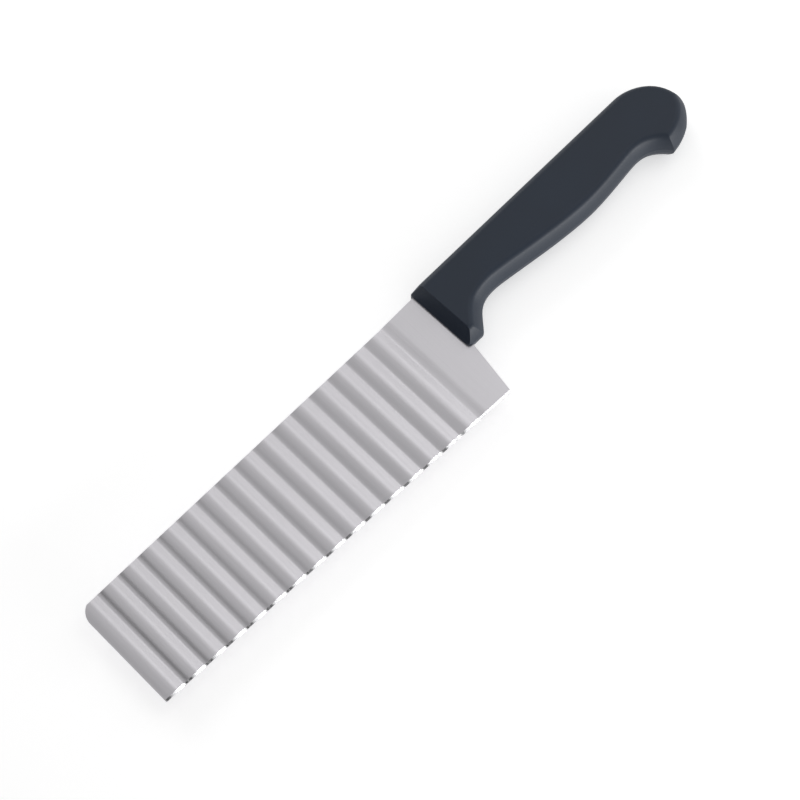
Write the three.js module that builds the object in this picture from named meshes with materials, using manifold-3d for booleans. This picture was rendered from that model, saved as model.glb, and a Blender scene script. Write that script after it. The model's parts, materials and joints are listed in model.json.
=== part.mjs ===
// Crinkle cutter: a corrugated stainless blade with a moulded one-piece handle.
// Millimetres, +Z up, lying on the side of its handle.
// +X runs from the tip to the butt, +Y from the cutting edge to the spine.
// While the pieces are made, x = 0 is the front of the handle, y = 0 the spine of the blade,
// and z = 0 the middle of the flat sheet. The whole knife moves to its own frame at the end.

import * as THREE from 'three';
import { mergeVertices } from 'three/addons/utils/BufferGeometryUtils.js';
import Module from 'manifold-3d';

const wasm = await Module();
wasm.setup();

// Blade sheet
const BLADE_LENGTH = 162.6;        // front of the handle to the tip
const TIP_DEPTH = 44.0;            // spine to cutting edge at the tip
const HEEL_DEPTH = 49.6;           // spine to cutting edge at the heel corner
const SHEET_THICKNESS = 1.2;
const TIP_RADIUS = 6.0;            // rounded corner between the tip and the spine
const HEEL_CORNER_X = -0.8;        // where the heel corner stands, seen from the front of the handle
const HEEL_LEAN = 0.156;           // the back edge of the heel leans this much per millimetre of depth
const SPINE_KICK_RISE = 0.5;       // the spine climbs a little just before the handle
const SPINE_KICK_LENGTH = 17.8;

// Corrugation
const WAVE_PITCH = 9.17;
const WAVE_DEPTH = 1.4;            // valley to ridge, at the middle of the sheet
const HEEL_FLAT_LENGTH = 11.8;     // flat sheet between the last wave and the handle
const VALLEY_BELOW_HEEL = 0.35;    // valleys lie this far under the flat heel
const WAVE_STEPS = 14;             // straight pieces in one wave

// Ground cutting edge
const GRIND_WIDTH = 0.9;
const EDGE_THICKNESS = 0.25;       // metal left at the very edge

// Handle, from the front: guard, waist, swell, rear waist, beak and rounded butt
const GUARD_LENGTH = 8.8;
const GUARD_TO_WAIST = 15.4;
const WAIST_TO_SWELL = 45.7;
const SWELL_TO_REAR_WAIST = 27.0;
const REAR_WAIST_TO_BEAK = 12.9;
const BEAK_TO_BUTT = 17.5;
const BUTT_ROUND_LENGTH = 21.0;    // length of the rounded upper corner of the butt
const GUARD_HEIGHT = 29.1;         // heights under the top front corner
const WAIST_HEIGHT = 19.6;
const SWELL_HEIGHT = 24.0;
const REAR_WAIST_HEIGHT = 21.6;
const BEAK_HEIGHT = 28.5;
const BUTT_END_HEIGHT = 13.5;      // how far down the rearmost point lies
const TOP_CLIMB = 0.9;             // the top rises this much towards the butt
const HANDLE_THICKNESS = 15.0;
const RIM_THICKNESS = 4.0;         // upright band all round, between the two slopes
const CHAMFER_INSET = 2.6;         // how far the slopes lead in to the flat sides
const NOSE_INSET = 3.5;            // longer slope at the front of the handle
const FRONT_RADIUS = 1.3;          // rounded front corners, seen from the side
const TOP_WALL = 0.8;              // plastic over the spine of the blade
const NOSE_WALL = 0.6;             // plastic on each side of the blade at the very front

// Tang inside the handle
const TANG_HEIGHT = 12.0;
const TANG_END_COVER = 35.6;       // plastic behind the end of the tang
const SHOULDER_X = 4.0;            // full depth of the blade goes this far into the handle
const HOLE_DIAMETER = 6.0;
const HOLE_SPACING = 26.0;
const CLEARANCE = 0.3;             // gap between metal and plastic

// Values that follow from the sizes above
const WAIST_X = GUARD_LENGTH + GUARD_TO_WAIST;
const SWELL_X = WAIST_X + WAIST_TO_SWELL;
const REAR_WAIST_X = SWELL_X + SWELL_TO_REAR_WAIST;
const BEAK_X = REAR_WAIST_X + REAR_WAIST_TO_BEAK;
const HANDLE_LENGTH = BEAK_X + BEAK_TO_BUTT;
const POCKET_THICKNESS = SHEET_THICKNESS + 2 * CLEARANCE;
const TOP_FRONT_Y = SPINE_KICK_RISE + CLEARANCE + TOP_WALL;
const TANG_MIDDLE_Y = TOP_FRONT_Y - WAIST_HEIGHT / 2;
const TANG_TOP = TANG_MIDDLE_Y + TANG_HEIGHT / 2;
const TANG_BOTTOM = TANG_MIDDLE_Y - TANG_HEIGHT / 2;
const TANG_END = HANDLE_LENGTH - TANG_END_COVER;
const CUT_MARGIN = 20;             // how far tool shapes reach past what they cut

function solidOf(geometry) {
  const plain = geometry.clone();
  plain.deleteAttribute('normal');
  plain.deleteAttribute('uv');
  const merged = mergeVertices(plain, 1e-4);
  const mesh = new wasm.Mesh({
    numProp: 3,
    vertProperties: new Float32Array(merged.attributes.position.array),
    triVerts: new Uint32Array(merged.index.array),
  });
  return new wasm.Manifold(mesh);
}

function geometryOf(solid) {
  const mesh = solid.getMesh();
  const geometry = new THREE.BufferGeometry();
  geometry.setAttribute('position', new THREE.BufferAttribute(mesh.vertProperties, 3));
  geometry.setIndex(new THREE.BufferAttribute(mesh.triVerts, 1));
  const faceted = geometry.toNonIndexed();
  faceted.computeVertexNormals();
  return faceted;
}

// A shape seen from above, as a straight prism centred on z = 0.
function prism(shape, height, curveSegments = 16) {
  const geometry = new THREE.ExtrudeGeometry(shape, { depth: height, bevelEnabled: false, curveSegments });
  geometry.translate(0, 0, -height / 2);
  return geometry;
}

// A shape seen from the cutting edge, with x and z as its two directions, as a prism along Y.
function prismAlongY(shape, fromY, toY) {
  const geometry = new THREE.ExtrudeGeometry(shape, { depth: toY - fromY, bevelEnabled: false });
  geometry.rotateX(Math.PI / 2);
  geometry.translate(0, toY, 0);
  return geometry;
}

// Middle line of the corrugated sheet. From the flat heel it eases down into the last valley
// over half a wave, and from there even waves run on to the tip.
const FLAT_START_X = -HEEL_FLAT_LENGTH;
const LAST_VALLEY_X = FLAT_START_X - WAVE_PITCH / 2;
const LAST_RIDGE_X = LAST_VALLEY_X - WAVE_PITCH / 2;

function midline(x) {
  if (x >= FLAT_START_X) {
    return { z: 0, slope: 0 };
  }
  const turn = (2 * Math.PI) / WAVE_PITCH;
  if (x >= LAST_VALLEY_X) {
    const angle = turn * (x - LAST_VALLEY_X);
    return {
      z: (-VALLEY_BELOW_HEEL * (1 + Math.cos(angle))) / 2,
      slope: (VALLEY_BELOW_HEEL * turn * Math.sin(angle)) / 2,
    };
  }
  const angle = turn * (x - LAST_RIDGE_X);
  return {
    z: WAVE_DEPTH / 2 - VALLEY_BELOW_HEEL + (WAVE_DEPTH / 2) * Math.cos(angle),
    slope: (-WAVE_DEPTH / 2) * turn * Math.sin(angle),
  };
}

function sheetPoint(x, side) {
  const { z, slope } = midline(x);
  const length = Math.hypot(1, slope);
  const offset = (side * SHEET_THICKNESS) / 2;
  return new THREE.Vector2(x - (offset * slope) / length, z + offset / length);
}

// Places along the blade where the sheet bends, from past the tip to past the end of the tang.
function bendPlaces() {
  const step = WAVE_PITCH / WAVE_STEPS;
  const count = Math.ceil((FLAT_START_X + BLADE_LENGTH) / step) + WAVE_STEPS;
  const places = [];
  for (let i = count; i >= 0; i -= 1) {
    places.push(FLAT_START_X - i * step);
  }
  places.push(TANG_END + CUT_MARGIN);
  return places;
}

const PLACES = bendPlaces();
const SHEET_TOP = PLACES.map((x) => sheetPoint(x, 1));
const SHEET_UNDER = PLACES.map((x) => sheetPoint(x, -1));

function heelX(y) {
  return HEEL_CORNER_X + HEEL_LEAN * (y + HEEL_DEPTH);
}

// Round holes along the tang, from the waist back, a little smaller where they leave plugs of plastic.
function addTangHoles(shape, grow) {
  const lastX = TANG_END - TANG_HEIGHT / 2;
  for (let x = WAIST_X; x <= lastX; x += HOLE_SPACING) {
    const hole = new THREE.Path();
    hole.absarc(x, TANG_MIDDLE_Y, HOLE_DIAMETER / 2 - grow, 0, 2 * Math.PI, true);
    shape.holes.push(hole);
  }
}

// The part of the sheet's outline that lies inside the handle, drawn from the heel edge to the spine.
function drawInsert(shape, lowestY, grow) {
  const lean = grow * Math.hypot(1, HEEL_LEAN);
  const endRadius = TANG_HEIGHT / 2 + grow;
  const endX = TANG_END + grow - endRadius;
  shape.lineTo(heelX(lowestY) + lean, lowestY);
  shape.lineTo(heelX(TANG_BOTTOM - grow) + lean, TANG_BOTTOM - grow);
  shape.lineTo(endX, TANG_BOTTOM - grow);
  shape.absarc(endX, TANG_MIDDLE_Y, endRadius, -Math.PI / 2, Math.PI / 2, false);
  shape.lineTo(SHOULDER_X + grow, TANG_TOP + grow);
  shape.lineTo(SHOULDER_X + grow, SPINE_KICK_RISE + grow);
}

function bladeOutline() {
  const tipX = -BLADE_LENGTH;
  const shape = new THREE.Shape();
  shape.moveTo(tipX, -TIP_DEPTH);
  drawInsert(shape, -HEEL_DEPTH, 0);
  shape.lineTo(0, SPINE_KICK_RISE);
  shape.lineTo(-SPINE_KICK_LENGTH, 0);
  shape.lineTo(tipX + TIP_RADIUS, 0);
  shape.absarc(tipX + TIP_RADIUS, -TIP_RADIUS, TIP_RADIUS, Math.PI / 2, Math.PI, false);
  shape.closePath();
  addTangHoles(shape, 0);
  return shape;
}

// Everything above the ground edge: the upper face of the sheet, tipped down towards the cutting edge.
function grindCutter() {
  const roof = WAVE_DEPTH + SHEET_THICKNESS + CUT_MARGIN;
  const first = SHEET_TOP[0];
  const last = SHEET_TOP[SHEET_TOP.length - 1];
  const profile = [...SHEET_TOP, new THREE.Vector2(last.x, roof), new THREE.Vector2(first.x, roof)];
  const geometry = prismAlongY(new THREE.Shape(profile), -HEEL_DEPTH - CUT_MARGIN, CUT_MARGIN);
  const edgeSlope = (TIP_DEPTH - HEEL_DEPTH) / (BLADE_LENGTH + HEEL_CORNER_X);
  const edgeStretch = Math.hypot(1, edgeSlope);
  const fall = (SHEET_THICKNESS - EDGE_THICKNESS) / GRIND_WIDTH / edgeStretch;
  const lineY = -TIP_DEPTH + edgeSlope * BLADE_LENGTH + GRIND_WIDTH * edgeStretch;
  const slant = new THREE.Matrix4();
  slant.set(1, 0, 0, 0, 0, 1, 0, 0, -fall * edgeSlope, fall, 1, -fall * lineY, 0, 0, 0, 1);
  geometry.applyMatrix4(slant);
  return geometry;
}

function makeBlade() {
  const profile = [...SHEET_UNDER, ...SHEET_TOP.slice().reverse()];
  const sheet = prismAlongY(new THREE.Shape(profile), -HEEL_DEPTH - CUT_MARGIN, CUT_MARGIN);
  const reach = 2 * (WAVE_DEPTH + SHEET_THICKNESS + CUT_MARGIN);
  const outlined = solidOf(sheet).intersect(solidOf(prism(bladeOutline(), reach)));
  return outlined.subtract(solidOf(grindCutter()));
}

// A curve that leaves one place level and reaches the next one level.
function levelCurve(shape, fromX, fromY, leave, toX, toY, arrive) {
  const span = toX - fromX;
  shape.bezierCurveTo(fromX + leave * span, fromY, toX - arrive * span, toY, toX, toY);
}

// Side view of the handle. The underside runs guard, waist, swell, rear waist and beak as smooth curves.
// The numbers under 1 say how full each curve is.
function handleOutline(frontRadius) {
  const guardY = TOP_FRONT_Y - GUARD_HEIGHT;
  const waistY = TOP_FRONT_Y - WAIST_HEIGHT;
  const swellY = TOP_FRONT_Y - SWELL_HEIGHT;
  const rearWaistY = TOP_FRONT_Y - REAR_WAIST_HEIGHT;
  const beakY = TOP_FRONT_Y - BEAK_HEIGHT;
  const buttY = TOP_FRONT_Y - BUTT_END_HEIGHT;
  const buttX = HANDLE_LENGTH - BUTT_ROUND_LENGTH;
  const shape = new THREE.Shape();
  shape.moveTo(0, guardY + frontRadius);
  shape.quadraticCurveTo(0, guardY, frontRadius, guardY);
  shape.lineTo(GUARD_LENGTH, guardY);
  const riseX = GUARD_LENGTH + 0.25 * GUARD_TO_WAIST;
  const riseY = guardY + 0.63 * (waistY - guardY);
  shape.bezierCurveTo(riseX, riseY, WAIST_X - 0.63 * GUARD_TO_WAIST, waistY, WAIST_X, waistY);
  levelCurve(shape, WAIST_X, waistY, 0.23, SWELL_X, swellY, 0.36);
  levelCurve(shape, SWELL_X, swellY, 0.27, REAR_WAIST_X, rearWaistY, 0.2);
  const hookX = REAR_WAIST_X + 0.75 * REAR_WAIST_TO_BEAK;
  const hookY = rearWaistY + 0.43 * (beakY - rearWaistY);
  shape.bezierCurveTo(REAR_WAIST_X + 0.56 * REAR_WAIST_TO_BEAK, rearWaistY, hookX, hookY, BEAK_X, beakY);
  const underX = BEAK_X + 0.64 * BEAK_TO_BUTT;
  const underY = beakY + 0.12 * (buttY - beakY);
  const backY = buttY + 0.56 * (beakY - buttY);
  shape.bezierCurveTo(underX, underY, HANDLE_LENGTH, backY, HANDLE_LENGTH, buttY);
  const upperRound = TOP_FRONT_Y + TOP_CLIMB - buttY;
  shape.absellipse(buttX, buttY, BUTT_ROUND_LENGTH, upperRound, 0, Math.PI / 2, false, 0);
  shape.lineTo(frontRadius, TOP_FRONT_Y);
  shape.quadraticCurveTo(0, TOP_FRONT_Y, 0, TOP_FRONT_Y - frontRadius);
  shape.closePath();
  return shape;
}

// Pocket in the handle for the sheet, open at the front and under the guard.
function insertPocket() {
  const lowestY = TOP_FRONT_Y - GUARD_HEIGHT - CUT_MARGIN;
  const shape = new THREE.Shape();
  shape.moveTo(-CUT_MARGIN, lowestY);
  drawInsert(shape, lowestY, CLEARANCE);
  shape.lineTo(-CUT_MARGIN, SPINE_KICK_RISE + CLEARANCE);
  shape.closePath();
  addTangHoles(shape, CLEARANCE);
  return prism(shape, POCKET_THICKNESS);
}

// Top view of the handle: flat sides, with the nose sloping in to the blade.
function noseLimits() {
  const half = HANDLE_THICKNESS / 2;
  const nose = POCKET_THICKNESS / 2 + NOSE_WALL;
  const past = HANDLE_LENGTH + CUT_MARGIN;
  const shape = new THREE.Shape();
  shape.moveTo(0, -nose);
  shape.lineTo(NOSE_INSET, -half);
  shape.lineTo(past, -half);
  shape.lineTo(past, half);
  shape.lineTo(NOSE_INSET, half);
  shape.lineTo(0, nose);
  shape.closePath();
  return prismAlongY(shape, TOP_FRONT_Y - GUARD_HEIGHT - CUT_MARGIN, TOP_FRONT_Y + CUT_MARGIN);
}

function makeHandle() {
  const body = new THREE.ExtrudeGeometry(handleOutline(0), {
    depth: RIM_THICKNESS,
    bevelEnabled: true,
    bevelThickness: (HANDLE_THICKNESS - RIM_THICKNESS) / 2,
    bevelSize: CHAMFER_INSET,
    bevelOffset: -CHAMFER_INSET,
    bevelSegments: 1,
    curveSegments: 14,
  });
  body.translate(0, 0, -RIM_THICKNESS / 2);
  const rounded = prism(handleOutline(FRONT_RADIUS), HANDLE_THICKNESS + CUT_MARGIN, 14);
  const shaped = solidOf(body).intersect(solidOf(rounded)).intersect(solidOf(noseLimits()));
  return shaped.subtract(solidOf(insertPocket()));
}

// The knife's own frame: middle of its box in X and Y, underside of the handle at Z = 0.
const MIDDLE_X = (HANDLE_LENGTH - BLADE_LENGTH) / 2;
const MIDDLE_Y = (TOP_FRONT_Y + TOP_CLIMB - HEEL_DEPTH) / 2;

const steel = new THREE.MeshStandardMaterial({ color: 0xc4c4c7, roughness: 0.32, metalness: 1.0 });
const plastic = new THREE.MeshStandardMaterial({ color: 0x2b2f36, roughness: 0.48, metalness: 0.0 });

const group = new THREE.Group();
const knife = new THREE.Group();
knife.position.set(-MIDDLE_X, -MIDDLE_Y, HANDLE_THICKNESS / 2);
group.add(knife);

function addPiece(name, solid, material) {
  const piece = new THREE.Mesh(geometryOf(solid), material);
  piece.name = name;
  knife.add(piece);
}

addPiece('blade', makeBlade(), steel);
addPiece('handle', makeHandle(), plastic);

export default group;
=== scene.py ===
# %% [markdown]
# This lesson dresses a crinkle cutter: a kitchen knife whose broad stainless blade is pressed into
# waves, set in a one-piece moulded plastic handle. A finished CAD model gives the frame, with a
# blade and a handle at their real sizes. Both are made again here with finer surfaces, and the
# frame's box is printed first.

# %% Load the frame
import json
import math

import bmesh
import bpy
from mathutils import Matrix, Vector

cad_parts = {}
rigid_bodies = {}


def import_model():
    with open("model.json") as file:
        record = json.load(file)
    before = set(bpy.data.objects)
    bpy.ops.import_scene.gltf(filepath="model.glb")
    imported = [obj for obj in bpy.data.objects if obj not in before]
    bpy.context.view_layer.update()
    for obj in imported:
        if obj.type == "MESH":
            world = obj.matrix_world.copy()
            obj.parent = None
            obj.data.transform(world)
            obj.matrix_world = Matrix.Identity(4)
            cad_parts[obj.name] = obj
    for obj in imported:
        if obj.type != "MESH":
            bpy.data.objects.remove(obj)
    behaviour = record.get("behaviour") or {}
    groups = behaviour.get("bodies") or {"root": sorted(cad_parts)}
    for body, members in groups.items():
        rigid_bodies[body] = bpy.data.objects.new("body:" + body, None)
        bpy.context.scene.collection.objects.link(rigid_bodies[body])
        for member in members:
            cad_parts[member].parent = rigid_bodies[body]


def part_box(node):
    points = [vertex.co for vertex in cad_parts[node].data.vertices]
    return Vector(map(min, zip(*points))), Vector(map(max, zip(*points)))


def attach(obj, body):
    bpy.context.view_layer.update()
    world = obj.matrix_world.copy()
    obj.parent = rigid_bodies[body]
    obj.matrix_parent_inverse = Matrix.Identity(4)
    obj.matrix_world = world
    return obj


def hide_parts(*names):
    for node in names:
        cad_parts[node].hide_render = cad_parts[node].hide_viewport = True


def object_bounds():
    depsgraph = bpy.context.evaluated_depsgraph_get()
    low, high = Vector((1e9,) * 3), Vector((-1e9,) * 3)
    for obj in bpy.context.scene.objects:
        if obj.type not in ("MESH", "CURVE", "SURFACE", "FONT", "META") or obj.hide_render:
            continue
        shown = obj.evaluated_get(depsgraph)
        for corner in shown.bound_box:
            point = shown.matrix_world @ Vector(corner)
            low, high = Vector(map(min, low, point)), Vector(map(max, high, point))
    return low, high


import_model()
cad_box = [list(corner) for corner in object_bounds()]
print("CAD box in metres:", cad_box)

# %% [markdown]
# We model in millimetres in the maker's own corner of space: x = 0 is the front of the handle,
# y = 0 is the spine of the blade and z = 0 is the middle of the flat sheet. Each finished piece then
# moves to its place in the frame. That place could be typed in, but reading it off the CAD boxes
# keeps the two models together.

# %% The place of the knife
MM = 0.001
BLADE_LENGTH = 162.6
HEEL_DEPTH = 49.6

blade_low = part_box("blade")[0]
handle_low, handle_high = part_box("handle")
place = Vector((
    blade_low.x + BLADE_LENGTH * MM,
    blade_low.y + HEEL_DEPTH * MM,
    (handle_low.z + handle_high.z) / 2,
))
print("maker's corner in the frame, mm:", [round(value / MM, 2) for value in place])

# %% [markdown]
# Modelling by operators means that each one works on what is selected. These few helpers do what a
# hand does between two operators: clear the selection, pick vertices, edges or faces by where they
# are, cut with a straight plane, and weld points that have come to lie on each other.

# %% Helpers for modelling by hand
# How near, in millimetres, a point has to be to count as in a place, as another one or on a plane.
NEAR = 0.01
SAME_POINT = 0.001
ON_PLANE = 0.0001


def clear_selection():
    if bpy.context.mode != "OBJECT":
        bpy.ops.object.mode_set(mode="OBJECT")
    bpy.ops.object.select_all(action="DESELECT")


def take_up(piece):
    clear_selection()
    piece.select_set(True)
    bpy.context.view_layer.objects.active = piece


def pick(piece, kind, test):
    """In edit mode, select the vertices, edges or faces whose middle, in mm, passes the test."""
    bpy.ops.mesh.select_mode(type=kind)
    bpy.ops.mesh.select_all(action="DESELECT")
    shape = bmesh.from_edit_mesh(piece.data)
    found = 0
    for item in {"VERT": shape.verts, "EDGE": shape.edges, "FACE": shape.faces}[kind]:
        corners = [item.co] if kind == "VERT" else [corner.co for corner in item.verts]
        middle = sum(corners, Vector()) / len(corners) / MM
        if test(middle):
            item.select_set(True)
            found += 1
    shape.select_flush_mode()
    bmesh.update_edit_mesh(piece.data)
    return found


def cut(point, direction, clear=True, fill=False):
    """Cut what is selected with a plane and, unless told not to, drop what lies beyond it."""
    bpy.ops.mesh.bisect(
        plane_co=Vector(point) * MM, plane_no=direction, clear_outer=clear, use_fill=fill,
        threshold=ON_PLANE * MM,
    )


def cut_all(point, direction, **how):
    bpy.ops.mesh.select_all(action="SELECT")
    cut(point, direction, **how)


def weld(within=SAME_POINT):
    """In edit mode, make one point of those that lie within a distance of each other."""
    bpy.ops.mesh.select_all(action="SELECT")
    bpy.ops.mesh.remove_doubles(threshold=within * MM)


def apply_modifier(piece, kind, **settings):
    take_up(piece)
    modifier = piece.modifiers.new(kind.title(), kind)
    for name, value in settings.items():
        setattr(modifier, name, value)
    bpy.ops.object.modifier_apply(modifier=modifier.name)


print("points closer than", SAME_POINT, "mm count as one")

# %% [markdown]
# The sheet is pressed between two wavy dies, so its section is one even wave repeated from the heel
# to past the tip, with ridges a little broader than the valleys. A wave could come from a Wave
# modifier, but that one moves with time. Drawing one wave with the extrude operator and repeating it
# with an Array gives every ridge the same shape. What is drawn is the underside of the sheet: the
# thickness comes later.

# %% One wave of the sheet
SHEET_THICKNESS = 1.2
WAVE_PITCH = 9.17
WAVE_DEPTH = 1.4
WAVE_STEPS = 24
RIDGE_FULLNESS = 0.1
HEEL_FLAT_LENGTH = 11.8
VALLEY_BELOW_HEEL = 0.35
FLAT_START_X = -HEEL_FLAT_LENGTH
LAST_VALLEY_X = FLAT_START_X - WAVE_PITCH / 2


def underside(x):
    """A point of the sheet's underside, half a thickness below its middle, square to the slope."""
    turn = 2 * math.pi / WAVE_PITCH
    angle = turn * (x - LAST_VALLEY_X)
    if x > FLAT_START_X:
        height, slope = 0.0, 0.0
    elif x > LAST_VALLEY_X:
        height = -VALLEY_BELOW_HEEL * (1 + math.cos(angle)) / 2
        slope = VALLEY_BELOW_HEEL * turn * math.sin(angle) / 2
    else:
        wave = WAVE_DEPTH / 2
        height = wave * (1 - math.cos(angle)) + RIDGE_FULLNESS * (1 - math.cos(2 * angle))
        height -= VALLEY_BELOW_HEEL
        slope = turn * (wave * math.sin(angle) + 2 * RIDGE_FULLNESS * math.sin(2 * angle))
    length = math.hypot(1, slope)
    drop = SHEET_THICKNESS / 2
    return Vector((x + drop * slope / length, 0, height - drop / length))


def extrude_along(points):
    for here, there in zip(points, points[1:]):
        bpy.ops.mesh.extrude_region_move(TRANSFORM_OT_translate={"value": (there - here) * MM})


clear_selection()
bpy.ops.mesh.primitive_plane_add(size=MM, location=(0, 0, 0))
blade = bpy.context.object
blade.name = "corrugated_blade"
bpy.ops.object.mode_set(mode="EDIT")
bpy.ops.mesh.merge(type="CENTER")
wave_x = [LAST_VALLEY_X - WAVE_PITCH * i / WAVE_STEPS for i in range(WAVE_STEPS + 1)]
one_wave = [underside(x) for x in wave_x]
bpy.ops.transform.translate(value=one_wave[0] * MM)
extrude_along(one_wave)
bpy.ops.object.mode_set(mode="OBJECT")
wave_count = math.ceil((BLADE_LENGTH + LAST_VALLEY_X) / WAVE_PITCH) + 1
apply_modifier(
    blade, "ARRAY", count=wave_count, use_relative_offset=False, use_constant_offset=True,
    constant_offset_displace=(-WAVE_PITCH * MM, 0, 0), use_merge_vertices=True,
    merge_threshold=SAME_POINT * MM,
)
print("waves drawn:", wave_count)

# %% [markdown]
# Only the two ends of the row of waves are pressed less deep, which shows in the light on them. They
# could be drawn as waves of their own, but then they would have to join the others. So past the last
# ridge the sheet is flattened with the resize operator, and the ridge next to the heel is moved down
# a little, with the points around it following by less and less.

# %% The ends of the row of waves
TIP_FLATNESS = 0.6
HEEL_RIDGE_DROP = 0.3
last_ridge_x = LAST_VALLEY_X - WAVE_PITCH * (wave_count - 1.5)
heel_ridge_x = LAST_VALLEY_X - WAVE_PITCH / 2
bpy.ops.object.mode_set(mode="EDIT")
flattened = pick(blade, "VERT", lambda at: at.x < last_ridge_x + NEAR)
bpy.ops.transform.resize(
    value=(1, 1, TIP_FLATNESS), center_override=underside(last_ridge_x) * MM
)
pick(blade, "VERT", lambda at: abs(at.x - heel_ridge_x) < NEAR)
bpy.ops.transform.translate(
    value=(0, 0, -HEEL_RIDGE_DROP * MM), use_proportional_edit=True,
    proportional_edit_falloff="SMOOTH", proportional_size=WAVE_PITCH / 2 * MM,
)
print("points past the last ridge, at", round(last_ridge_x, 2), "mm:", flattened)

# %% [markdown]
# Next to the handle the sheet runs flat. From the last valley it eases up over half a wave, so the
# extrude goes on from that vertex. Then the whole line is extruded once towards the cutting edge, a
# little further than needed. The spine is sheared at a slant, which a turn of its row of vertices
# gives: the ridges end a little lower than the valleys, and seen from the cutting edge's side the
# spine runs straight. Last, it is turned up slightly where it enters the handle.

# %% Flat heel, depth of the sheet and the spine
EASE_STEPS = 10
SHEET_REACH_X = 9.0
SPARE_DEPTH = 1.0
SPINE_SLANT = 0.286
SPINE_SLANT_FOOT = -1.37
SPINE_KICK_RISE = 0.5
SPINE_KICK_LENGTH = 17.8


def on_spine(at):
    return at.y > -HEEL_DEPTH / 2


pick(blade, "VERT", lambda at: at.x > LAST_VALLEY_X - NEAR)
ease_x = [LAST_VALLEY_X + WAVE_PITCH / 2 * i / EASE_STEPS for i in range(EASE_STEPS + 1)]
extrude_along([underside(x) for x in [*ease_x, SHEET_REACH_X]])
bpy.ops.mesh.select_all(action="SELECT")
bpy.ops.mesh.extrude_region_move(
    TRANSFORM_OT_translate={"value": (0, -(HEEL_DEPTH + SPARE_DEPTH) * MM, 0)}
)
pick(blade, "VERT", on_spine)
bpy.ops.transform.rotate(
    value=-math.atan(SPINE_SLANT), orient_axis="X", center_override=(0, 0, SPINE_SLANT_FOOT * MM)
)
turned = pick(blade, "VERT", lambda at: on_spine(at) and at.x > -SPINE_KICK_LENGTH)
bpy.ops.transform.rotate(
    value=-math.atan(SPINE_KICK_RISE / SPINE_KICK_LENGTH), orient_axis="Z",
    center_override=(-SPINE_KICK_LENGTH * MM, 0, 0),
)
highest = max(vertex.co.y for vertex in bmesh.from_edit_mesh(blade.data).verts)
print("spine vertices turned up:", turned, "highest, mm:", round(highest / MM, 2))

# %% [markdown]
# A press blanks the outline from the sheet along straight shear lines. A Boolean with a cutter would
# do it in one go, but plane cuts leave cleaner edges on a wavy sheet. First come the cutting edge,
# which slants like the spine and so looks just as straight, and the heel, which leans back under the
# handle. One more cut, which drops nothing, leaves an edge where the grinding stops.

# %% Cutting edge and heel
TIP_DEPTH = 44.0
HEEL_CORNER_X = -0.8
HEEL_LEAN = 0.156
EDGE_SLANT = 0.21
GRIND_WIDTH = 0.7
edge_angle = math.atan((HEEL_DEPTH - TIP_DEPTH) / (BLADE_LENGTH + HEEL_CORNER_X))
edge_out = Vector((-math.sin(edge_angle), -math.cos(edge_angle), -EDGE_SLANT)).normalized()
heel_corner = Vector((HEEL_CORNER_X, -HEEL_DEPTH, -SHEET_THICKNESS / 2))
cut_all(heel_corner, edge_out)
cut_all(heel_corner - edge_out * GRIND_WIDTH, edge_out, clear=False)
cut_all(heel_corner, (1, -HEEL_LEAN, 0))
print("faces after blanking:", len(bmesh.from_edit_mesh(blade.data).faces))

# %% [markdown]
# The tang is the tongue that the handle grips. Nobody sees it, but it carries the load, so it is here
# as in the CAD model: the flat heel is split along two lines, the edge between them is extruded back
# and cut to length, and the end is rounded by bevelling its two corner vertices.

# %% Tang
TANG_HEIGHT = 12.0
TANG_MIDDLE = -8.2
TANG_END = 91.7
TANG_END_ROUND = 5.88
TANG_END_STEPS = 8
SHOULDER_X = 4.0
tang_top = TANG_MIDDLE + TANG_HEIGHT / 2
tang_bottom = TANG_MIDDLE - TANG_HEIGHT / 2


def on_tang_root(at):
    heel_x = HEEL_CORNER_X + HEEL_LEAN * (at.y + HEEL_DEPTH)
    return at.x > SHOULDER_X and tang_bottom < at.y < tang_top and abs(at.x - heel_x) < NEAR


for line in (tang_top, tang_bottom):
    pick(blade, "FACE", lambda at: at.x > FLAT_START_X)
    cut((0, line, 0), (0, 1, 0), clear=False)
pick(blade, "FACE", lambda at: at.x > FLAT_START_X and at.y > tang_top)
cut((SHOULDER_X, 0, 0), (1, 0, 0), clear=False)
pick(blade, "FACE", lambda at: at.x > SHOULDER_X and at.y > tang_top)
bpy.ops.mesh.delete(type="FACE")
pick(blade, "EDGE", on_tang_root)
bpy.ops.mesh.extrude_region_move(TRANSFORM_OT_translate={"value": (2 * TANG_END * MM, 0, 0)})
pick(blade, "FACE", lambda at: at.x > TANG_END / 2)
cut((TANG_END, 0, 0), (1, 0, 0))
ends = pick(blade, "VERT", lambda at: at.x > TANG_END - NEAR)
bpy.ops.mesh.bevel(offset=TANG_END_ROUND * MM, segments=TANG_END_STEPS, affect="VERTICES")
print("end corners rounded:", ends)

# %% [markdown]
# A sheet has two faces that run side by side, which is just what a Solidify modifier makes, with an
# even thickness measured square to the slope. The cutting edge is ground from one side: through a
# vertex group the outermost row of vertices gets only about half the thickness, so the strip up to
# the grind line becomes a bevel.

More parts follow.
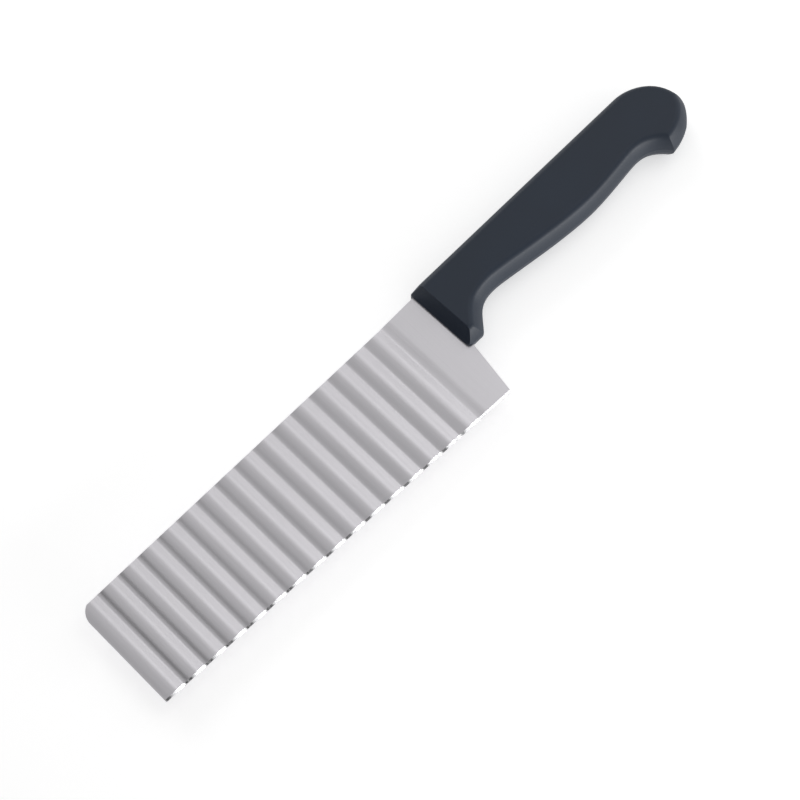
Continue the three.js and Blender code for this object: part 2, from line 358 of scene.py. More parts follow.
# %% Thickness and ground edge
EDGE_THICKNESS = 0.58
weld()
bpy.ops.mesh.normals_make_consistent(inside=False)
faces = bmesh.from_edit_mesh(blade.data).faces
rearmost_face = max(faces, key=lambda face: face.calc_center_median().x)
if rearmost_face.normal.z < 0:
    bpy.ops.mesh.flip_normals()
full = pick(blade, "VERT", lambda at: (at - heel_corner).dot(edge_out) < -NEAR)
bpy.ops.object.vertex_group_add()
bpy.ops.object.vertex_group_assign()
full_thickness = blade.vertex_groups.active.name
apply_modifier(
    blade, "SOLIDIFY", thickness=SHEET_THICKNESS * MM, offset=1, use_even_offset=True,
    vertex_group=full_thickness, thickness_vertex_group=EDGE_THICKNESS / SHEET_THICKNESS,
)
blade.vertex_groups.clear()
print("vertices at full thickness:", full, "faces:", len(blade.data.polygons))

# %% [markdown]
# The tip is sheared square to the sheet and its upper corner is rounded. These cuts come after the
# thickness, because on a slope the two faces of the sheet would otherwise end at different places.
# The rounded corner is a fan of short cuts, each of which closes the wall that it opens.

# %% Tip and rounded corner
TIP_RADIUS = 6.0
TIP_CUTS = 12
CUT_WELD = 0.002


def round_corner(centre, radius, side, cuts):
    """Round a corner that faces the tip, above (side 1) or below (side -1), with a fan of cuts."""
    for i in range(cuts):
        angle = math.radians(90 + 90 * (i + 0.5) / cuts)
        out = Vector((math.cos(angle), side * math.sin(angle), 0))
        cut_all(centre + out * radius, out, fill=True)


bpy.ops.object.mode_set(mode="EDIT")
cut_all((-BLADE_LENGTH, 0, 0), (-1, 0, 0), fill=True)
round_corner(Vector((-BLADE_LENGTH + TIP_RADIUS, -TIP_RADIUS, 0)), TIP_RADIUS, 1, TIP_CUTS)
weld(CUT_WELD)
print("faces with the tip cut:", len(bmesh.from_edit_mesh(blade.data).faces))

# %% [markdown]
# Three holes go through the tang, so that the melted plastic can flow through and lock it. One
# cylinder is repeated by an Array at the holes' spacing and subtracted by a Boolean, which is less
# work than three cylinders and keeps them in line.

# %% Holes in the tang
HOLE_COUNT = 3
HOLE_DIAMETER = 6.0
HOLE_SPACING = 26.0
HOLE_SIDES = 32
FIRST_HOLE_X = 24.2
clear_selection()
bpy.ops.mesh.primitive_cylinder_add(
    vertices=HOLE_SIDES, radius=HOLE_DIAMETER / 2 * MM, depth=4 * SHEET_THICKNESS * MM,
    location=(FIRST_HOLE_X * MM, TANG_MIDDLE * MM, 0),
)
punch = bpy.context.object
apply_modifier(
    punch, "ARRAY", count=HOLE_COUNT, use_relative_offset=False, use_constant_offset=True,
    constant_offset_displace=(HOLE_SPACING * MM, 0, 0),
)
apply_modifier(blade, "BOOLEAN", object=punch, operation="DIFFERENCE", solver="EXACT")
bpy.data.objects.remove(punch)
print("faces with the holes:", len(blade.data.polygons))

# %% [markdown]
# Sheared edges are deburred, so light catches a thin line on them. Each edge could be picked by hand,
# but a Bevel modifier limited by angle finds them by itself. Smoothing by angle then keeps the waves
# soft and the grind line crisp.

# %% Deburr and smooth the blade
DEBURR = 0.1
SHEARED_ANGLE = math.radians(60)
SMOOTH_ANGLE = math.radians(28)
apply_modifier(
    blade, "BEVEL", width=DEBURR * MM, segments=1, limit_method="ANGLE",
    angle_limit=SHEARED_ANGLE, use_clamp_overlap=True,
)
take_up(blade)
bpy.ops.object.shade_smooth_by_angle(angle=SMOOTH_ANGLE)
print("blade size, mm:", [round(size / MM, 2) for size in blade.dimensions])

# %% [markdown]
# The handle is one moulding. Seen from the side it has a guard in front, a waist for the first
# finger, a swell for the palm, a second waist and a beak under the rounded butt. Its edges differ:
# the back is softly rounded, while a wide chamfer runs along the belly and another one under the
# butt. One way would be to bevel each edge by its own width. Instead we draw three outlines, give
# each its own section, and keep what they share, so that the chamfers meet in a clean mitre at the
# beak. Each outline overshoots where another one is in charge.

# %% Outlines of the handle
GUARD_LENGTH = 8.1
GUARD_Y = -27.7
BACK_FRONT_Y = 1.47
BACK_REAR_Y = 2.42
PAST_FRONT = -6.0
PAST_BUTT = 140.0
PAST_BACK = 12.0
PAST_BEAK = -33.0
BELOW_BELLY = -34.0
FAR_BELOW_BELLY = -39.0


def sharp(x, y):
    """A point of an outline where straight runs meet."""
    return (x, y), (x, y), (x, y)


# Each row is one point of an outline with the handle before it and the handle after it.
belly = [
    sharp(PAST_FRONT, GUARD_Y),
    ((GUARD_LENGTH, GUARD_Y), (GUARD_LENGTH, GUARD_Y), (13.1, -22.3)),
    ((23.5, -18.05), (14.9, -18.05), (30.0, -18.05)),
    ((69.9, -22.65), (53.4, -22.65), (80.0, -22.65)),
    ((97.0, -20.35), (93.0, -20.35), (103.8, -20.35)),
    ((109.8, -26.9), (106.6, -23.0), (109.8, -26.9)),
    sharp(114.8, PAST_BEAK),
    sharp(PAST_BUTT, PAST_BEAK),
    sharp(PAST_BUTT, PAST_BACK),
    sharp(PAST_FRONT, PAST_BACK),
]
butt = [
    sharp(PAST_FRONT, BELOW_BELLY),
    sharp(63.5, BELOW_BELLY),
    ((109.8, -27.3), (109.8, -27.3), (117.9, -26.4)),
    ((126.7, -18.3), (122.9, -23.3), (126.7, -18.3)),
    sharp(PAST_BUTT, PAST_BACK),
    sharp(PAST_FRONT, PAST_BACK),
]
back = [
    sharp(PAST_FRONT, FAR_BELOW_BELLY),
    sharp(80.0, FAR_BELOW_BELLY),
    ((112.0, -29.0), (112.0, -29.0), (119.9, -25.6)),
    ((126.6, -14.8), (126.75, -19.4), (126.2, -1.2)),
    ((108.0, BACK_REAR_Y), (112.9, 2.55), (108.0, BACK_REAR_Y)),
    sharp(0.0, BACK_FRONT_Y),
    sharp(PAST_FRONT, BACK_FRONT_Y),
]
print("points drawn by hand:", len(belly) + len(butt) + len(back))

# %% [markdown]
# Cut across, the chamfered sides have an upright rim, a slope and the flat side face, with a soft
# turn between them, because a mould has no knife-sharp corners. The slope itself is slightly crowned,
# so its sheen grows towards the top. The back leans in only a little, so that the half can be drawn
# out of its mould, and ends in a tighter turn. The turns could be bevelled afterwards, but short
# edges would hold a bevel back. So they are part of the sections: arcs, each worked out from its
# radius and its angle.

# %% Sections of the handle
HANDLE_THICKNESS = 15.0
RIM_THICKNESS = 2.4
BELLY_INSET = 3.2
BUTT_INSET = 4.2
BACK_INSET = 1.6
RIM_ROUND = 2.0
FACE_ROUND = 3.2
BACK_ROUND = 2.4
CROWN = math.radians(18)
RIM_STEPS = 4
SLOPE_STEPS = 5
FACE_STEPS = 6
half = HANDLE_THICKNESS / 2
rim = RIM_THICKNESS / 2


def arc(inset, height, radius, start, turn, steps):
    """Points of a turn that would have a sharp corner at the given inset and height."""
    reach = radius * math.tan(turn / 2)
    inward = inset - reach * math.sin(start) + radius * math.cos(start)
    upward = height - reach * math.cos(start) - radius * math.sin(start)
    leans = [start + turn * i / steps for i in range(steps + 1)]
    return [(inward - radius * math.cos(lean), upward + radius * math.sin(lean)) for lean in leans]


def chamfer_section(inset, face_round=FACE_ROUND):
    """Insets and heights of a side, from its upright rim over the crowned slope to the flat face."""
    slope = math.atan2(inset, half - rim)
    steep = slope - CROWN / 2
    flat = slope + CROWN / 2
    lower = arc(0.0, rim, RIM_ROUND, 0.0, steep, RIM_STEPS)
    upper = arc(inset, half, face_round, flat, math.pi / 2 - flat, FACE_STEPS)
    foot_inset, foot_height = lower[-1]
    run = upper[0][0] - foot_inset
    rise = upper[0][1] - foot_height
    crowned = []
    for i in range(1, SLOPE_STEPS):
        along = i / SLOPE_STEPS
        bulge = along * (1 - along) * math.tan(CROWN / 2)
        step_inset = foot_inset + run * along - rise * bulge
        step_height = foot_height + rise * along + run * bulge
        crowned.append((step_inset, step_height))
    return lower + crowned + upper


back_section = chamfer_section(BACK_INSET, BACK_ROUND)
belly_section = chamfer_section(BELLY_INSET)
butt_section = chamfer_section(BUTT_INSET)
print("belly section, mm:", [(round(inset, 2), round(z, 2)) for inset, z in belly_section])

# %% [markdown]
# An outline could be drawn as a row of many short edges. A Bezier curve needs only one point at each
# turn, because its handles set how full each sweep is, and it is turned into a mesh at the end.

# %% An outline from a curve
CURVE_STEPS = 16


def draw_outline(rows):
    """A closed mesh outline from a Bezier curve through the rows."""
    clear_selection()
    bpy.ops.curve.primitive_bezier_curve_add(location=(0, 0, 0))
    curve = bpy.context.object
    curve.data.dimensions = "2D"
    curve.data.fill_mode = "NONE"
    curve.data.resolution_u = CURVE_STEPS
    spline = curve.data.splines[0]
    spline.bezier_points.add(len(rows) - len(spline.bezier_points))
    spline.use_cyclic_u = True
    for point, (spot, before, after) in zip(spline.bezier_points, rows):
        point.handle_left_type = "VECTOR" if before == spot else "FREE"
        point.handle_right_type = "VECTOR" if after == spot else "FREE"
        point.co = Vector((*spot, 0)) * MM
        point.handle_left = Vector((*before, 0)) * MM
        point.handle_right = Vector((*after, 0)) * MM
    bpy.ops.object.convert(target="MESH")
    return bpy.context.object


print("steps of each sweep:", CURVE_STEPS)

# %% [markdown]
# Made into a face, an outline is extruded up its wall and then inset again and again, each time by
# one step of the section, so a slope keeps its width all along. A Bevel modifier with a profile could
# do it too, but short edges would hold it back. The slope's upper edge can also be pushed in places,
# and the push fades out along the edge. An inset eats into the edges next to a corner, so where a
# curve starts from the guard's corner the first points are dissolved.

# %% A body from an outline and a section
MITRE_REACH = 2.5


def push_edge(body, pushes, share):
    """Push parts of the selected face's edge by a share, with the rest hidden so that it stays."""
    bpy.ops.mesh.hide(unselected=True)
    for test, (push_x, push_y), fade in pushes:
        pick(body, "VERT", test)
        bpy.ops.transform.translate(
            value=(push_x * share * MM, push_y * share * MM, 0), use_proportional_edit=True,
            proportional_edit_falloff="SMOOTH", proportional_size=fade * MM,
        )
    bpy.ops.mesh.select_all(action="SELECT")
    bpy.ops.mesh.reveal(select=False)


def outlined_body(name, rows, section, foot, pushes=()):
    """Upper part of a body, from the given foot up to the flat side face."""
    body = draw_outline(rows)
    body.name = name
    bpy.ops.object.mode_set(mode="EDIT")
    weld()
    bpy.ops.mesh.edge_face_add()
    guard_corner = Vector((GUARD_LENGTH, GUARD_Y, 0))
    pick(body, "VERT", lambda at: NEAR < (at - guard_corner).length < MITRE_REACH)
    bpy.ops.mesh.dissolve_verts()
    bpy.ops.mesh.select_all(action="SELECT")
    bpy.ops.transform.translate(value=(0, 0, foot * MM))
    wall = (section[0][1] - foot) * MM
    bpy.ops.mesh.extrude_region_move(TRANSFORM_OT_translate={"value": (0, 0, wall)})
    for step, (inset, height) in enumerate(section[1:]):
        inset_before, height_before = section[step]
        bpy.ops.mesh.inset(thickness=(inset - inset_before) * MM, depth=0, use_even_offset=True)
        bpy.ops.transform.translate(value=(0, 0, (height - height_before) * MM))
        if RIM_STEPS <= step < RIM_STEPS + SLOPE_STEPS:
            push_edge(body, pushes, 1 / SLOPE_STEPS)
    bpy.ops.mesh.select_all(action="SELECT")
    bpy.ops.mesh.normals_make_consistent(inside=False)
    bpy.ops.object.mode_set(mode="OBJECT")
    return body


print("insets up a chamfered side:", len(belly_section) - 1)

# %% [markdown]
# The belly's chamfer is not equally wide all along: on the real handle it is wider behind the guard
# and narrower at the beak. Its outline could be redrawn for the upper edge, but two pushes are less
# work. The body reaches a little below the middle of the handle, where it is cut off later.

# %% Body of the belly
BELLY_FOOT = -1.0
GUARD_WAIST_X = 14.0
BEAK_X = 105.0
BEAK_Y = -21.0

# Each row is which points of the slope's upper edge are pushed, how far, and over what length the
# push fades.
belly_pushes = [
    (lambda at: at.x < GUARD_WAIST_X and at.y < 0, (-1.1, 0.4), 8.0),
    (lambda at: at.x > BEAK_X and at.y < BEAK_Y, (-0.3, -0.25), 9.0),
]
handle = outlined_body("moulded_handle", belly, belly_section, BELLY_FOOT, belly_pushes)
print("faces of the belly's body:", len(handle.data.polygons))

# %% [markdown]
# Where the guard turns into the waist, two chamfers meet in a mitre, and a mould leaves that edge
# slightly rounded. A Bevel modifier would round other edges as well, so the bevel operator works on
# those alone that lie near the guard and turn sharply. Then come the bodies of the butt and the back,
# and two Booleans keep what all three share.

# %% Round the guard and join the three bodies
GUARD_ROUND = 0.6
GUARD_ROUND_STEPS = 4
GUARD_REACH_X = 4.0
GUARD_REACH_Y = 5.0
MITRE_ANGLE = math.radians(25)
BUTT_FOOT = -2.0
BACK_FOOT = -3.0


def near_guard(at):
    beside = abs(at.x - GUARD_LENGTH) < GUARD_REACH_X and abs(at.y - GUARD_Y) < GUARD_REACH_Y
    return beside and at.z > BELLY_FOOT + NEAR


bpy.ops.object.mode_set(mode="EDIT")
bpy.ops.mesh.select_mode(type="EDGE")
bpy.ops.mesh.select_all(action="DESELECT")
shape = bmesh.from_edit_mesh(handle.data)
mitre = 0
for edge in shape.edges:
    middle = (edge.verts[0].co + edge.verts[1].co) / 2 / MM
    if near_guard(middle) and edge.calc_face_angle() > MITRE_ANGLE:
        edge.select_set(True)
        mitre += 1
bmesh.update_edit_mesh(handle.data)
bpy.ops.mesh.bevel(
    offset=GUARD_ROUND * MM, offset_type="OFFSET", segments=GUARD_ROUND_STEPS, affect="EDGES"
)
bpy.ops.object.mode_set(mode="OBJECT")
butt_body = outlined_body("butt_body", butt, butt_section, BUTT_FOOT)
back_body = outlined_body("back_body", back, back_section, BACK_FOOT)
for other in (butt_body, back_body):
    apply_modifier(handle, "BOOLEAN", object=other, operation="INTERSECT", solver="EXACT")
    bpy.data.objects.remove(other)
upper_half = [round(size / MM, 2) for size in handle.dimensions]
print("edges rounded:", mitre, "upper half, mm:", upper_half)

# %% [markdown]
# The nose slopes back from the blade, and stands a little askew, further back at the guard than at
# the spine. A Boolean with a wedge could shape it, but plane cuts need no other object. One cut makes
# the slope, with an upright cut in front. A short fan of cuts behind it rounds its long edge a
# little, and another one rounds its edge towards the back. Then everything under the middle of the
# handle is dropped, because a Mirror modifier gives the other half.

# %% Nose of the handle
NOSE_INSET = 3.5
NOSE_FLAT = 1.5
NOSE_ROUND = 0.5
NOSE_BACK_ROUND = 0.8
NOSE_SKEW = 0.02
NOSE_CUTS = 4
HANDLE_WELD = 0.005
nose_lean = math.atan2(half - NOSE_FLAT, NOSE_INSET)


def cut_nose(point, lean):
    """Cut across the front with a plane that leans back from the flat side face by an angle."""
    cut_all(point, (-math.sin(lean), -NOSE_SKEW * math.sin(lean), math.cos(lean)), fill=True)


bpy.ops.object.mode_set(mode="EDIT")
cut_nose((0, 0, 0), math.pi / 2)
cut_nose((0, 0, NOSE_FLAT), nose_lean)
back_off = NOSE_ROUND * math.tan(nose_lean / 2)
round_centre = Vector((NOSE_INSET + back_off, 0, half - NOSE_ROUND))
for i in range(NOSE_CUTS):
    lean = nose_lean * (i + 0.5) / NOSE_CUTS
    cut_nose(round_centre + Vector((-math.sin(lean), 0, math.cos(lean))) * NOSE_ROUND, lean)
nose_out = Vector((-math.sin(nose_lean), 0, math.cos(nose_lean)))
back_lean = math.atan2(BACK_INSET, half - rim)
back_out = Vector((0, math.cos(back_lean), math.sin(back_lean)))
edge_foot = Vector((-NOSE_SKEW * BACK_FRONT_Y, BACK_FRONT_Y, NOSE_FLAT))
edge_depth = NOSE_BACK_ROUND / (1 + nose_out.dot(back_out))
edge_centre = edge_foot - (nose_out + back_out) * edge_depth
for i in range(NOSE_CUTS):
    out = nose_out.slerp(back_out, (i + 0.5) / NOSE_CUTS)
    cut_all(edge_centre + out * NOSE_BACK_ROUND, out, fill=True)
cut_all((0, 0, 0), (0, 0, -1))
weld(HANDLE_WELD)
print("points with the nose cut:", len(bmesh.from_edit_mesh(handle.data).verts))

# %% [markdown]
# The Mirror modifier closes the moulding. Its two front corners are then rounded as seen from the
# side, again by a fan of cuts rather than a bevel, because here too the rounding runs through a wall,
# a slope and the nose at once.

# %% Mirror the handle and round its front corners
BACK_CORNER_ROUND = 0.6
GUARD_CORNER_ROUND = 2.0
FRONT_CUTS = 6

# Each row is the height of a front corner, the side that it faces and its radius.
front_corners = [
    (BACK_FRONT_Y, 1, BACK_CORNER_ROUND),
    (GUARD_Y, -1, GUARD_CORNER_ROUND),
]
bpy.ops.object.mode_set(mode="OBJECT")
apply_modifier(
    handle, "MIRROR", use_axis=(False, False, True), use_clip=False, use_mirror_merge=True,
    merge_threshold=SAME_POINT * MM,
)
bpy.ops.object.mode_set(mode="EDIT")
for corner_y, side, radius in front_corners:
    centre = Vector((radius - NOSE_SKEW * corner_y, corner_y - side * radius, 0))
    round_corner(centre, radius, side, FRONT_CUTS)
weld(HANDLE_WELD)
bpy.ops.mesh.normals_make_consistent(inside=False)
bpy.ops.object.mode_set(mode="OBJECT")
print("handle size, mm:", [round(size / MM, 2) for size in handle.dimensions])

# %% [markdown]
# The plastic is moulded round the tang, so the handle has a slot of the blade's own shape and fills
# the tang's holes. A slot could be drawn by hand, but a Boolean with the blade gives both. Plastic
# shrinks as it cools, so a copy of the blade is first grown by a hair with a Displace modifier, which
# leaves a thin dark line where the blade comes out.

# %% Mould the handle round the tang
SHRINK_GAP = 0.06
take_up(blade)
bpy.ops.object.duplicate()
core = bpy.context.object
apply_modifier(core, "DISPLACE", strength=SHRINK_GAP * MM, mid_level=0)
apply_modifier(handle, "BOOLEAN", object=core, operation="DIFFERENCE", solver="EXACT")
bpy.data.objects.remove(core)
take_up(handle)
bpy.ops.object.mode_set(mode="EDIT")
weld(CUT_WELD)
bpy.ops.object.mode_set(mode="OBJECT")
bpy.ops.object.shade_smooth_by_angle(angle=SMOOTH_ANGLE)
apply_modifier(handle, "WEIGHTED_NORMAL", keep_sharp=True, weight=50)
print("handle faces:", len(handle.data.polygons))

# %% [markdown]
# Both pieces now move from the maker's corner to their place in the frame. Applying the move puts the
# place into the mesh, so both objects sit unturned at the origin, as the CAD nodes do.

# %% Place the pieces in the frame
for piece, node, slot in ((blade, "blade", "blade_steel"), (handle, "handle", "handle_plastic")):
    take_up(piece)
    piece.location = place
    bpy.ops.object.transform_apply(location=True, rotation=True, scale=True)
    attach(piece, "root")
    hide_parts(node)
    print(piece.name, "stands for", node)

# %% [markdown]
# A material is a small net of nodes. One function adds a node with its settings and its links, one
# brings a noise into a useful range, and one turns a colour as written in a paint program into the
# linear values that light is counted in.

# %% Helpers for materials
NOISE_LOW = 0.3
NOISE_HIGH = 0.7


def linear(hex_colour):
    """The sRGB curve undone, for each of the three channels."""
    def channel(start):
        value = int(hex_colour[start:start + 2], 16) / 255
        return value / 12.92 if value <= 0.04045 else ((value + 0.055) / 1.055) ** 2.4

    return (channel(1), channel(3), channel(5), 1.0)


def add(tree, kind, links=None, values=None, **settings):
    """Add a node. Links and values go by the name or number of the input that they feed."""
    node = tree.nodes.new(kind)
    for name, value in settings.items():
        setattr(node, name, value)
    for name, value in (values or {}).items():
        node.inputs[name].default_value = value
    for name, output in (links or {}).items():
        tree.links.new(output, node.inputs[name])
    return node


def spread(tree, noise, low, high):
    """Bring a noise, which mostly keeps to its middle levels, between two values."""
    return add(
        tree, "ShaderNodeMapRange", {"Value": noise.outputs["Fac"]},
        {"From Min": NOISE_LOW, "From Max": NOISE_HIGH, "To Min": low, "To Max": high},
    )


def new_material(name):
    material = bpy.data.materials.new(name)
    material.use_nodes = True
    material.node_tree.nodes.clear()
    return material, material.node_tree


print("middle grey in linear values:", [round(value, 3) for value in linear("#808080")])

# %% [markdown]
# The blade is cold-rolled stainless steel, brushed along the ridges. Brushing leaves fine scratches
# that blur what the metal reflects, and makes it a little streaky. A picture of brushed metal could
# be laid on it, but a noise stretched along the ridges has no seams. Real scratches are a few
# hundredths of a millimetre wide, far finer than a pixel here, so they are drawn 0.4 mm wide to show
# at all.

# %% Brushed stainless steel
SCRATCH_WIDTH = 0.4
SCRATCH_LENGTH = 30.0
CLOUD_SIZE = 25.0
steel, tree = new_material("stainless_steel_brushed")
coordinates = add(tree, "ShaderNodeTexCoord")
stretch = add(
    tree, "ShaderNodeMapping", {"Vector": coordinates.outputs["Object"]},
    {"Scale": [1 / (size * MM) for size in (SCRATCH_WIDTH, SCRATCH_LENGTH, SCRATCH_WIDTH)]},
)
scratches = add(
    tree, "ShaderNodeTexNoise", {"Vector": stretch.outputs[0]}, {"Scale": 1.0, "Detail": 3.0}
)
clouds = add(
    tree, "ShaderNodeTexNoise", {"Vector": coordinates.outputs["Object"]},
    {"Scale": 1 / (CLOUD_SIZE * MM), "Detail": 2.0},
)
tone = add(
    tree, "ShaderNodeMix", {"Factor": scratches.outputs["Fac"]},
    {"A": linear("#d5d3d7"), "B": linear("#dfdde1")}, data_type="RGBA",
)
blur = spread(tree, scratches, 0.33, 0.41)
touch = spread(tree, clouds, -0.02, 0.02)
rough = add(tree, "ShaderNodeMath", {0: blur.outputs[0], 1: touch.outputs[0]}, operation="ADD")
bump = add(
    tree, "ShaderNodeBump", {"Height": scratches.outputs["Fac"]},
    {"Strength": 0.08, "Distance": 0.02 * MM},
)
surface = add(
    tree, "ShaderNodeBsdfPrincipled",
    {"Base Color": tone.outputs[2], "Roughness": rough.outputs[0], "Normal": bump.outputs[0]},
    {"Metallic": 1.0},
)
add(tree, "ShaderNodeOutputMaterial", {"Surface": surface.outputs[0]})
blade.data.materials.clear()
blade.data.materials.append(steel)
print("made", steel.name)

# %% [markdown]
# The cutting edge is ground after the sheet is pressed, on a finer wheel, so its narrow bevel is
# smoother than the brushed sheet and flashes bright or dark as it turns with each wave. It could be a
# piece of its own, but on the real blade it is the same metal. So it is a second material on the same
# mesh, given to the faces of the bevel by their place and by their facing up. The wheel's marks run
# square to the edge.

# %% Ground edge
GRIND_MARK_WIDTH = 0.25
GRIND_MARK_LENGTH = 4.0
FACING_UP = 0.1
ground, tree = new_material("stainless_steel_ground")
coordinates = add(tree, "ShaderNodeTexCoord")
stretch = add(
    tree, "ShaderNodeMapping", {"Vector": coordinates.outputs["Object"]},
    {"Scale": [
        1 / (size * MM) for size in (GRIND_MARK_WIDTH, GRIND_MARK_LENGTH, GRIND_MARK_LENGTH)
    ]},
)
marks = add(
    tree, "ShaderNodeTexNoise", {"Vector": stretch.outputs[0]}, {"Scale": 1.0, "Detail": 2.0}
)
blur = spread(tree, marks, 0.18, 0.26)
surface = add(
    tree, "ShaderNodeBsdfPrincipled", {"Roughness": blur.outputs[0]},
    {"Base Color": linear("#e4e4e6"), "Metallic": 1.0},
)
add(tree, "ShaderNodeOutputMaterial", {"Surface": surface.outputs[0]})
blade.data.materials.append(ground)
ground_faces = 0
for face in blade.data.polygons:
    beyond_grind_line = ((face.center - place) / MM - heel_corner).dot(edge_out) + GRIND_WIDTH
    if beyond_grind_line > 0 and face.normal.z > FACING_UP:
        face.material_index = 1
        ground_faces += 1
print("made", ground.name, "on", ground_faces, "faces")

# %% [markdown]
# The handle is polypropylene, moulded with a fine satin grain. It is a blue black, and its grain
# spreads the light of the room into a soft sheen. The grain could be modelled, but as a bump it costs
# no faces. It is about a tenth of a millimetre on the real thing and is drawn at three tenths here.

# %% Moulded polypropylene
GRAIN = 0.3
plastic, tree = new_material("polypropylene_moulded")
coordinates = add(tree, "ShaderNodeTexCoord")
grain = add(
    tree, "ShaderNodeTexNoise", {"Vector": coordinates.outputs["Object"]},
    {"Scale": 1 / (GRAIN * MM), "Detail": 2.0},
)
flow = add(
    tree, "ShaderNodeTexNoise", {"Vector": coordinates.outputs["Object"]},
    {"Scale": 1 / (CLOUD_SIZE * MM), "Detail": 3.0},
)
tone = add(
    tree, "ShaderNodeMix", {"Factor": flow.outputs["Fac"]},
    {"A": linear("#091828"), "B": linear("#0e2033")}, data_type="RGBA",
)
rough = spread(tree, grain, 0.44, 0.54)
bump = add(
    tree, "ShaderNodeBump", {"Height": grain.outputs["Fac"]},
    {"Strength": 0.1, "Distance": 0.03 * MM},
)
surface = add(
    tree, "ShaderNodeBsdfPrincipled",
    {"Base Color": tone.outputs[2], "Roughness": rough.outputs[0], "Normal": bump.outputs[0]},
    {"IOR": 1.5},
)
add(tree, "ShaderNodeOutputMaterial", {"Surface": surface.outputs[0]})
handle.data.materials.clear()
handle.data.materials.append(plastic)
print("made", plastic.name)

# %% [markdown]
# The knife lies on a plain white table. The table is diffuse, so it takes the knife's soft shadow.
# More light would make it white too, but also wash out the knife. So what the camera and the shiny
# metal see of it glows a little, and the light on the knife stays as it is.

# %% Table
TABLE_SIZE = 8.0
TABLE_GLOW = 0.47
clear_selection()
bpy.ops.mesh.primitive_plane_add(size=TABLE_SIZE, location=(0, 0, cad_box[0][2]))
table = bpy.context.object
table.name = "table"
white, tree = new_material("white_table")
path = add(tree, "ShaderNodeLightPath")
seen = add(
    tree, "ShaderNodeMath",
    {0: path.outputs["Is Camera Ray"], 1: path.outputs["Is Glossy Ray"]}, operation="MAXIMUM",
)
seen = add(
    tree, "ShaderNodeMath",
    {0: seen.outputs[0], 1: path.outputs["Is Transmission Ray"]}, operation="MAXIMUM",
)
lift = add(tree, "ShaderNodeMath", {0: seen.outputs[0]}, {1: TABLE_GLOW}, operation="MULTIPLY")
paint = add(tree, "ShaderNodeBsdfDiffuse", values={"Color": linear("#e7e7e7")})
glow = add(tree, "ShaderNodeEmission", {"Strength": lift.outputs[0]}, {"Color": (1, 1, 1, 1)})
both = add(tree, "ShaderNodeAddShader", {0: paint.outputs[0], 1: glow.outputs[0]})
add(tree, "ShaderNodeOutputMaterial", {"Surface": both.outputs[0]})
table.data.materials.append(white)
print("table at height", cad_box[0][2])

# %% [markdown]
# The room is a plain grey, and a dark card stands beyond the tip, out of the picture, as
# photographers do to give bare metal some drawing. Each ridge mirrors the card on the flank that
# faces the tip, and the near ridges mirror more of it. A dark patch in the sky would also draw bands,
# but the same bands on every ridge. To the camera alone the room is white, so that beyond the table's
# edge the picture stays plain.

# %% Room and dark card
ROOM_LEVEL = 0.53
CARD_X = -0.36
CARD_Y = -0.35
CARD_HEIGHT = 0.2
CARD_WIDTH = 1.7
world = bpy.data.worlds.new("grey_room")
bpy.context.scene.world = world
world.use_nodes = True
tree = world.node_tree
tree.nodes.clear()
path = add(tree, "ShaderNodeLightPath")
level = add(
    tree, "ShaderNodeMapRange", {"Value": path.outputs["Is Camera Ray"]},
    {"To Min": ROOM_LEVEL, "To Max": 1.0},
)
background = add(
    tree, "ShaderNodeBackground", {"Strength": level.outputs[0]}, {"Color": (1, 1, 1, 1)}
)
add(tree, "ShaderNodeOutputWorld", {"Surface": background.outputs[0]})

clear_selection()
bpy.ops.mesh.primitive_plane_add(
    size=1, location=(CARD_X, CARD_Y, CARD_HEIGHT / 2), rotation=(0, math.radians(90), 0)
)
card = bpy.context.object
card.name = "dark_card"
card.scale = (CARD_HEIGHT, CARD_WIDTH, 1)
bpy.ops.object.transform_apply(location=True, rotation=True, scale=True)
card.visible_camera = False
felt, tree = new_material("black_felt")
surface = add(tree, "ShaderNodeBsdfDiffuse", values={"Color": linear("#262626")})
add(tree, "ShaderNodeOutputMaterial", {"Surface": surface.outputs[0]})
card.data.materials.append(felt)
print("card is", CARD_HEIGHT, "m high")

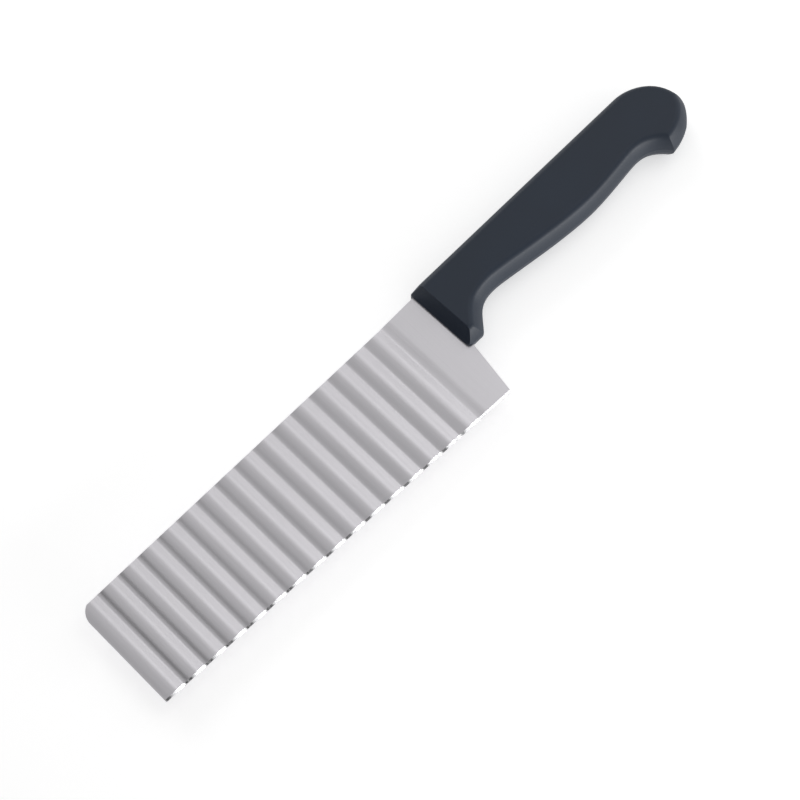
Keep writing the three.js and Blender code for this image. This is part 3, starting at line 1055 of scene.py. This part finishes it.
# %% [markdown]
# Four soft lamps light the knife. A low strip beside the cutting edge gives the handle's belly its
# sheen, a lamp beyond the spine throws the soft shadow towards the viewer, and two at the butt's end
# brighten the other flanks of the ridges. One big lamp would be softer still, but leave the waves
# flat. A lamp's brightness is what its surface would show a camera, with 1 for white, so its power
# follows from its area.

# %% Lamps
# Each row is a name, the way to the lamp, how far off it is, its width, height and brightness.
lamps = [
    ("strip_by_the_edge", (0.28, -0.95, 0.13), 1.2, 1.1, 0.29, 9.3),
    ("lamp_by_the_spine", (0.15, 0.88, 0.45), 1.5, 1.1, 0.7, 2.2),
    ("lamp_by_the_butt", (0.92, 0.0, 0.38), 1.4, 1.0, 0.8, 0.6),
    ("lamp_over_the_butt", (0.5, 0.05, 0.87), 1.5, 0.8, 0.8, 0.72),
]
for name, way, distance, width, height, brightness in lamps:
    direction = Vector(way).normalized()
    clear_selection()
    bpy.ops.object.light_add(type="AREA", location=direction * distance)
    lamp = bpy.context.object
    lamp.name = name
    lamp.data.shape = "RECTANGLE"
    lamp.data.size = width
    lamp.data.size_y = height
    lamp.data.energy = math.pi * width * height * brightness
    lamp.rotation_euler = direction.to_track_quat("Z", "Y").to_euler()
    print(name, "power in watts:", round(lamp.data.energy, 2))

# %% [markdown]
# The camera looks down steeply from beyond the cutting edge, on the side of the tip, so that the
# knife lies across the picture from the lower left to the upper right. Its angle of view follows from
# half the picture's width and the focal length, both in pixels.

# %% Camera
FOCUS = Vector((-13.15, -0.3, 7.5)) * MM
DISTANCE = 0.7039
HALF_PICTURE = 400
FOCAL_LENGTH = 1987
camera_direction = Vector((-0.23774, -0.23572, 0.94229))
clear_selection()
bpy.ops.object.camera_add(location=FOCUS + camera_direction * DISTANCE)
camera = bpy.context.object
camera.rotation_euler = camera_direction.to_track_quat("Z", "Y").to_euler()
camera.data.angle = 2 * math.atan(HALF_PICTURE / FOCAL_LENGTH)
bpy.context.scene.camera = camera
bpy.context.scene.view_settings.view_transform = "Standard"
print("camera at", [round(value, 4) for value in camera.location])
